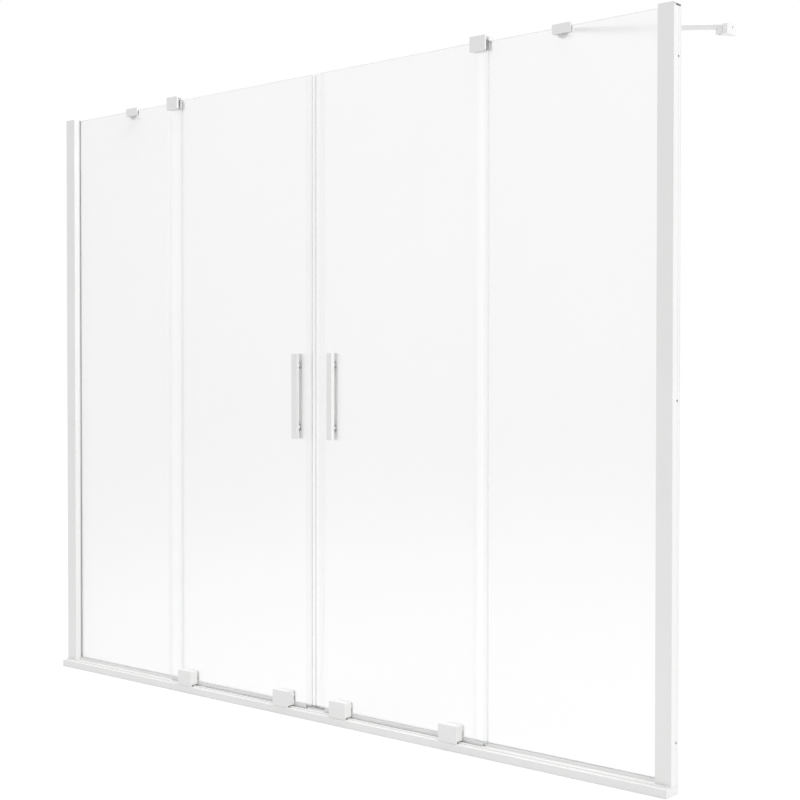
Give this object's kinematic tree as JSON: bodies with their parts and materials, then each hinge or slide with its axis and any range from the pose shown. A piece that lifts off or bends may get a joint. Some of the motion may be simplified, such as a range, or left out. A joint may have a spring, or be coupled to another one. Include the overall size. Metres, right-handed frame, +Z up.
{
  "type": "sliding bath screen",
  "caption": "Frosted-glass bath screen with fixed end panels and centre doors that slide apart on wheels in a bottom rail, with stabiliser bars to the walls.",
  "frame": {"origin": "centre of the bottom rail's underside", "axes": "+X along the screen, to the right seen from the room; +Y from the room to the bath; +Z up"},
  "size_m": [1.85, 0.2717, 1.5095],
  "materials": {
    "white_paint": "satin powder coat",
    "white_bar": "satin powder coat",
    "frosted_glass": "acid-etched satin, toughened",
    "grey_gasket": "matt",
    "clear_seal": "translucent soft plastic",
    "dark_liner": "matt, low friction",
    "wheel_plastic": "matt",
    "steel": "brushed",
    "white_plastic": "satin",
    "magnet": "matt, magnet-filled"
  },
  "bodies": {
    "frame": {"bottom_rail": "white_paint", "left_wall_channel": "white_paint", "left_glass_profile": "white_paint", "left_profile_cap": "white_plastic", "left_glass_gasket": "grey_gasket", "left_fixed_glass": "frosted_glass", "left_edge_trim": "clear_seal", "left_rail_cap": "white_plastic", "left_guide_bracket": "white_paint", "left_guide_liner": "dark_liner", "left_bar_clamp": "white_paint", "left_stabiliser_bar": "white_bar", "left_wall_flange": "white_paint", "right_wall_channel": "white_paint", "right_glass_profile": "white_paint", "right_profile_cap": "white_plastic", "right_glass_gasket": "grey_gasket", "right_fixed_glass": "frosted_glass", "right_edge_trim": "clear_seal", "right_rail_cap": "white_plastic", "right_guide_bracket": "white_paint", "right_guide_liner": "dark_liner", "right_bar_clamp": "white_paint", "right_stabiliser_bar": "white_bar", "right_wall_flange": "white_paint", "guide_clamp_plates": "white_paint", "set_screws": "steel", "bar_screws": "steel", "profile_screws": "steel"},
    "left_door": {"left_door_glass": "frosted_glass", "left_inner_carriage": "white_paint", "left_outer_carriage": "white_paint", "left_carriage_plates": "white_paint", "left_carriage_axles": "steel", "left_carriage_screws": "steel", "left_outer_handle": "white_paint", "left_inner_handle": "white_paint", "left_handle_posts": "steel", "left_magnet_seal": "clear_seal", "left_magnet_strip": "magnet", "left_overlap_seal": "clear_seal", "left_bottom_seal": "clear_seal"},
    "left_inner_wheel_body": {"left_inner_wheel": "wheel_plastic"},
    "left_outer_wheel_body": {"left_outer_wheel": "wheel_plastic"},
    "right_door": {"right_door_glass": "frosted_glass", "right_inner_carriage": "white_paint", "right_outer_carriage": "white_paint", "right_carriage_plates": "white_paint", "right_carriage_axles": "steel", "right_carriage_screws": "steel", "right_outer_handle": "white_paint", "right_inner_handle": "white_paint", "right_handle_posts": "steel", "right_magnet_seal": "clear_seal", "right_magnet_strip": "magnet", "right_overlap_seal": "clear_seal", "right_bottom_seal": "clear_seal"},
    "right_inner_wheel_body": {"right_inner_wheel": "wheel_plastic"},
    "right_outer_wheel_body": {"right_outer_wheel": "wheel_plastic"}
  },
  "joints": [
    {"name": "left_door_slide", "type": "slide", "parent": "frame", "child": "left_door", "axis": [-1, 0, 0], "range_m": [0, 0.375]},
    {"name": "left_inner_wheel_roll", "type": "hinge", "parent": "left_door", "child": "left_inner_wheel_body", "pos_m": [-0.0901, -0.0109, 0.03003], "axis": [0, -1, 0], "continuous": true},
    {"name": "left_outer_wheel_roll", "type": "hinge", "parent": "left_door", "child": "left_outer_wheel_body", "pos_m": [-0.4275, -0.0109, 0.03003], "axis": [0, -1, 0], "continuous": true},
    {"name": "right_door_slide", "type": "slide", "parent": "frame", "child": "right_door", "axis": [1, 0, 0], "range_m": [0, 0.384]},
    {"name": "right_inner_wheel_roll", "type": "hinge", "parent": "right_door", "child": "right_inner_wheel_body", "pos_m": [0.0901, -0.0109, 0.03003], "axis": [0, 1, 0], "continuous": true},
    {"name": "right_outer_wheel_roll", "type": "hinge", "parent": "right_door", "child": "right_outer_wheel_body", "pos_m": [0.4059, -0.0109, 0.03003], "axis": [0, 1, 0], "continuous": true}
  ],
  "couplings": [
    {"joint": "left_inner_wheel_roll", "follows": "left_door_slide", "rad_per_m": 111.11},
    {"joint": "left_outer_wheel_roll", "follows": "left_door_slide", "rad_per_m": 111.11},
    {"joint": "right_inner_wheel_roll", "follows": "right_door_slide", "rad_per_m": 111.11},
    {"joint": "right_outer_wheel_roll", "follows": "right_door_slide", "rad_per_m": 111.11}
  ]
}
